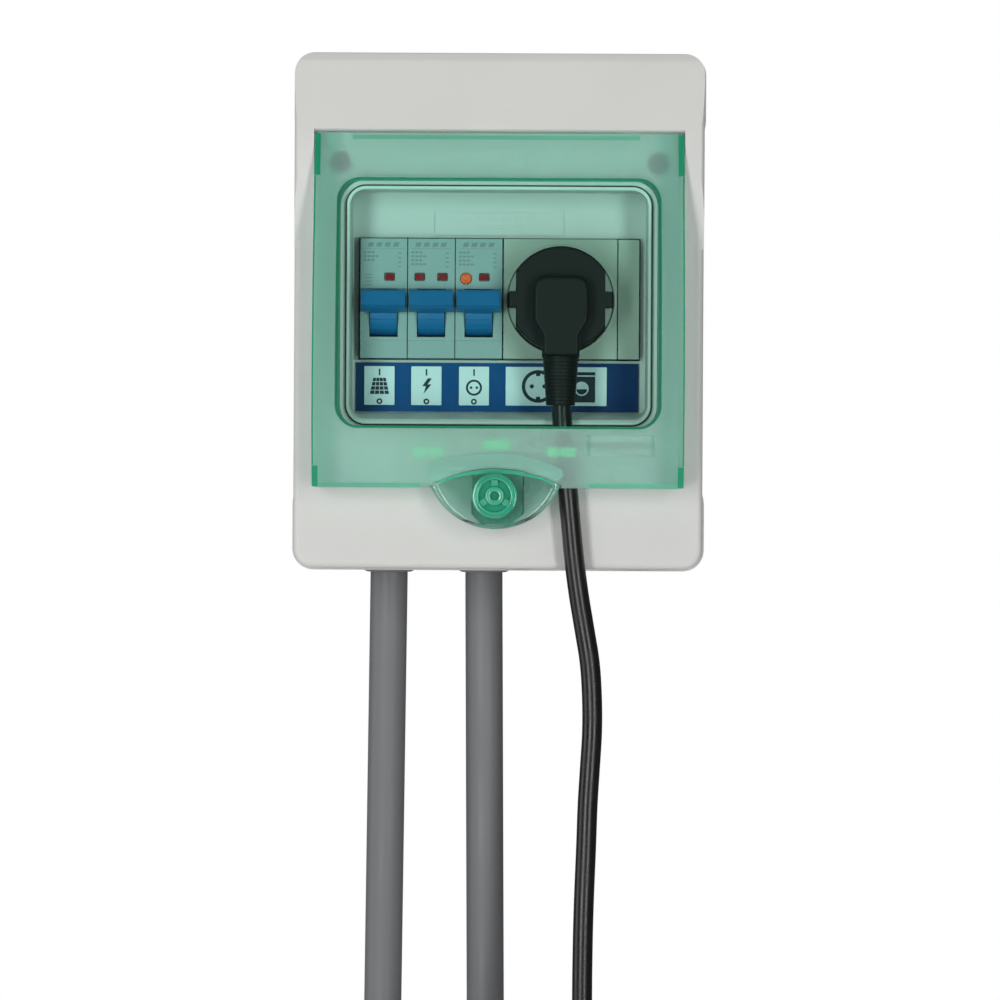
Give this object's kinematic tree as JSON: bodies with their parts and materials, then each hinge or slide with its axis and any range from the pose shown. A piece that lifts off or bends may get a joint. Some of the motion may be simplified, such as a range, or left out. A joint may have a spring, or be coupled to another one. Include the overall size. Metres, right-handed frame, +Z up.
{
  "type": "wall distribution box",
  "caption": "Wall-mounted six-module distribution box with a see-through hinged door, rail breakers, a socket with an angled plug and cord, and cables leaving downwards.",
  "frame": {"origin": "middle of the flat back face that goes against the wall", "axes": "+Z up the wall, +X to the right seen from the front, the front faces -Y and +Y points into the wall"},
  "size_m": [0.1594, 0.112, 0.474],
  "materials": {
    "housing_grey": "satin light grey thermoplastic",
    "gasket": "matt",
    "steel": "zinc plated",
    "brass": "plain",
    "wire_brown": "insulation",
    "wire_blue": "insulation",
    "wire_earth": "insulation, green and yellow",
    "device_grey": "satin",
    "clip_dark": "satin",
    "toggle_blue": "semi-gloss",
    "flag_red": "window",
    "button_orange": "semi-gloss",
    "socket_grey": "satin",
    "label_blue": "printed film",
    "label_card": "printed card",
    "plug_black": "moulded, fine grain",
    "cord_black": "smooth sheath",
    "nickel": "nickel plated",
    "cable_grey": "smooth sheath",
    "cable_cores": "insulation, three colours",
    "grommet": "matt",
    "door_green": "green see-through plastic",
    "latch_clear": "clear plastic",
    "knob_green": "green see-through plastic"
  },
  "bodies": {
    "housing": {"base_shell": "housing_grey", "cover_gasket": "gasket", "cover_shell": "housing_grey", "cover_screw_top_left": "steel", "cover_screw_top_right": "steel", "cover_screw_bottom_left": "steel", "cover_screw_bottom_right": "steel", "rail_screw_left": "steel", "rail_screw_right": "steel", "din_rail": "steel", "neutral_bar": "brass", "earth_bar": "brass", "wire_phase": "wire_brown", "wire_neutral": "wire_blue", "wire_earth": "wire_earth", "breaker_1_body": "device_grey", "breaker_2_body": "device_grey", "breaker_3_body": "device_grey", "breaker_1_clip": "clip_dark", "breaker_2_clip": "clip_dark", "breaker_3_clip": "clip_dark", "breaker_1_flag_1": "flag_red", "breaker_2_flag_1": "flag_red", "breaker_2_flag_2": "flag_red", "breaker_3_flag_1": "flag_red", "socket_module": "socket_grey", "socket_clip": "clip_dark", "socket_earth_clip_bottom": "steel", "socket_earth_clip_top": "steel", "blank_filler": "device_grey", "label_strip": "label_blue", "label_card_1": "label_card", "label_card_2": "label_card", "label_card_3": "label_card", "label_card_4": "label_card", "plug_body": "plug_black", "plug_relief": "plug_black", "plug_pin_left": "nickel", "plug_pin_right": "nickel", "cord": "cord_black", "cord_coil": "cord_black", "coil_tie": "clip_dark", "cord_end": "cord_black", "cable_left": "cable_grey", "cable_right": "cable_grey", "cable_left_cores": "cable_cores", "cable_right_cores": "cable_cores", "grommet_left": "grommet", "grommet_right": "grommet"},
    "door": {"door_shell": "door_green", "latch_plate": "latch_clear", "hinge_pin_left": "steel", "hinge_pin_right": "steel"},
    "lock": {"lock_knob": "knob_green", "lock_cam": "clip_dark"},
    "toggle_1": {"breaker_1_toggle": "toggle_blue"},
    "toggle_2": {"breaker_2_toggle": "toggle_blue"},
    "toggle_3": {"breaker_3_toggle": "toggle_blue"},
    "button": {"test_button": "button_orange"}
  },
  "joints": [
    {"name": "door_hinge", "type": "hinge", "parent": "housing", "child": "door", "pos_m": [0, -0.0929, 0.062], "axis": [-1, 0, 0], "range_deg": [0, 105]},
    {"name": "lock_turn", "type": "hinge", "parent": "door", "child": "lock", "pos_m": [-0.0011, -0.109, -0.071], "axis": [0, 1, 0], "range_deg": [0, 90]},
    {"name": "toggle_1_tilt", "type": "hinge", "parent": "housing", "child": "toggle_1", "pos_m": [-0.0436, -0.074, -0.0022], "axis": [1, 0, 0], "range_deg": [0, 46]},
    {"name": "toggle_2_tilt", "type": "hinge", "parent": "housing", "child": "toggle_2", "pos_m": [-0.0256, -0.074, -0.0022], "axis": [1, 0, 0], "range_deg": [0, 46]},
    {"name": "toggle_3_tilt", "type": "hinge", "parent": "housing", "child": "toggle_3", "pos_m": [-0.0076, -0.074, -0.0022], "axis": [1, 0, 0], "range_deg": [0, 46]},
    {"name": "button_press", "type": "slide", "parent": "housing", "child": "button", "axis": [0, 1, 0], "range_m": [0, 0.0015], "stiffness_N_per_m": 300}
  ]
}
